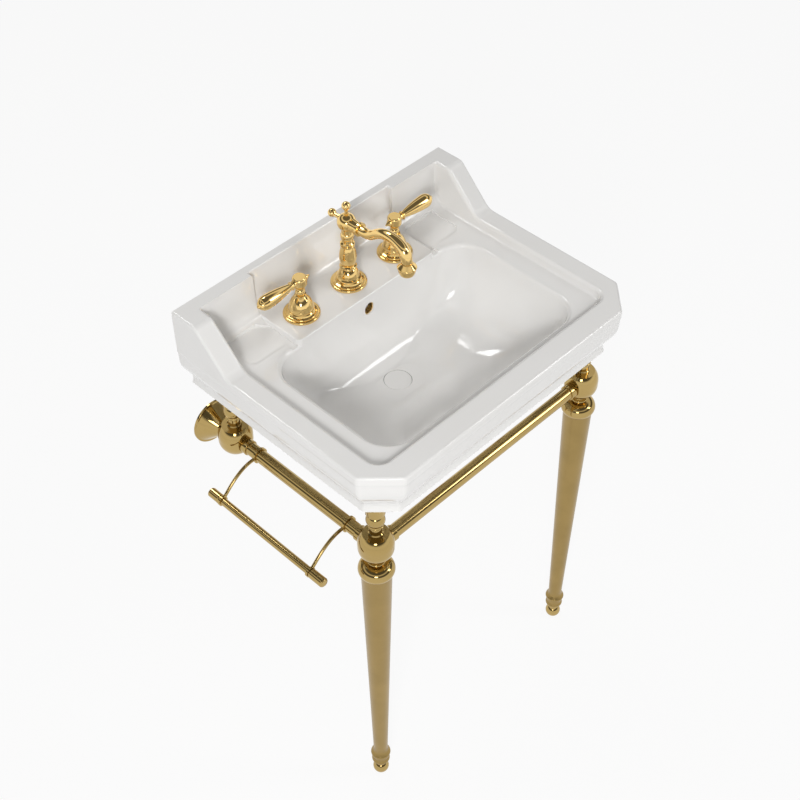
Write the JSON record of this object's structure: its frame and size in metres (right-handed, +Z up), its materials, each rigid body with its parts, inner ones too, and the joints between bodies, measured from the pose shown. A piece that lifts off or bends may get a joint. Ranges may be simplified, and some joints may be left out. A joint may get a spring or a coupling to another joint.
{
  "type": "console sink with legs",
  "caption": "Console washbasin of white china on turned brass legs joined by rails, with a side towel bar, a widespread lever faucet and a pop-up waste.",
  "frame": {"origin": "where the wall plane, the floor plane and the middle plane of the basin meet", "axes": "+Z up, +Y into the wall, +X to the right of a person who faces the wall at the basin"},
  "size_m": [0.6126, 0.43, 0.981],
  "materials": {
    "china": "glazed vitreous china, opaque white",
    "stand_brass": "satin aged brass",
    "faucet_brass": "polished brass",
    "waste_brass": "plain machined brass",
    "seal_rubber": "black rubber",
    "bolt_steel": "zinc-plated steel"
  },
  "bodies": {
    "console": {"basin": "china", "leg_left": "stand_brass", "leg_right": "stand_brass", "bun_left": "stand_brass", "bun_right": "stand_brass", "ball_front_left": "stand_brass", "ball_front_right": "stand_brass", "ball_rear_left": "stand_brass", "ball_rear_right": "stand_brass", "post_front_left": "stand_brass", "post_front_right": "stand_brass", "post_rear_left": "stand_brass", "post_rear_right": "stand_brass", "rail_front": "stand_brass", "rail_left": "stand_brass", "rail_right": "stand_brass", "wall_flange_left": "stand_brass", "wall_flange_right": "stand_brass", "towel_bar": "stand_brass", "towel_arm_front": "stand_brass", "towel_arm_rear": "stand_brass", "hot_escutcheon": "faucet_brass", "hot_bonnet": "faucet_brass", "cold_escutcheon": "faucet_brass", "cold_bonnet": "faucet_brass", "spout_escutcheon": "faucet_brass", "spout_column": "faucet_brass", "spout_arm": "faucet_brass", "spout_finial": "faucet_brass", "aerator": "faucet_brass", "overflow_ring": "faucet_brass", "drain_body": "waste_brass", "tailpiece": "waste_brass", "drain_locknut": "waste_brass", "pivot_nut": "waste_brass", "hot_valve": "waste_brass", "cold_valve": "waste_brass", "spout_shank": "waste_brass", "hot_locknut": "waste_brass", "cold_locknut": "waste_brass", "spout_locknut": "waste_brass", "drain_gasket": "seal_rubber", "wall_bolts": "bolt_steel", "wall_studs": "bolt_steel"},
    "hot_handle": {"hot_hub": "faucet_brass", "hot_lever": "faucet_brass"},
    "cold_handle": {"cold_hub": "faucet_brass", "cold_lever": "faucet_brass"},
    "lift_linkage": {"lift_rod": "faucet_brass", "lift_strap": "waste_brass", "strap_screw": "waste_brass"},
    "plug": {"drain_cap": "china", "plug_stem": "waste_brass", "plug_seal": "seal_rubber"},
    "pivot": {"pivot_rod": "waste_brass"},
    "left_foot": {"foot_left": "stand_brass"},
    "right_foot": {"foot_right": "stand_brass"}
  },
  "joints": [
    {"name": "hot_turn", "type": "hinge", "parent": "console", "child": "hot_handle", "pos_m": [-0.1015, -0.076, 0.89], "axis": [0, 0, 1], "range_deg": [0, 90]},
    {"name": "cold_turn", "type": "hinge", "parent": "console", "child": "cold_handle", "pos_m": [0.1015, -0.076, 0.89], "axis": [0, 0, -1], "range_deg": [0, 90]},
    {"name": "lift_slide", "type": "slide", "parent": "console", "child": "lift_linkage", "axis": [0, 0, 1], "range_m": [-0.007, 0]},
    {"name": "plug_slide", "type": "slide", "parent": "console", "child": "plug", "axis": [0, 0, 1], "range_m": [0, 0.007]},
    {"name": "pivot_tilt", "type": "hinge", "parent": "console", "child": "pivot", "pos_m": [0, -0.155, 0.6], "axis": [1, 0, 0], "range_deg": [-15, 0]},
    {"name": "left_foot_screw", "type": "slide", "parent": "console", "child": "left_foot", "axis": [0, 0, 1], "range_m": [-0.012, 0]},
    {"name": "right_foot_screw", "type": "slide", "parent": "console", "child": "right_foot", "axis": [0, 0, 1], "range_m": [-0.012, 0]}
  ],
  "couplings": [
    {"joint": "plug_slide", "follows": "lift_slide", "ratio": -1},
    {"joint": "pivot_tilt", "follows": "lift_slide", "rad_per_m": 37.037}
  ]
}
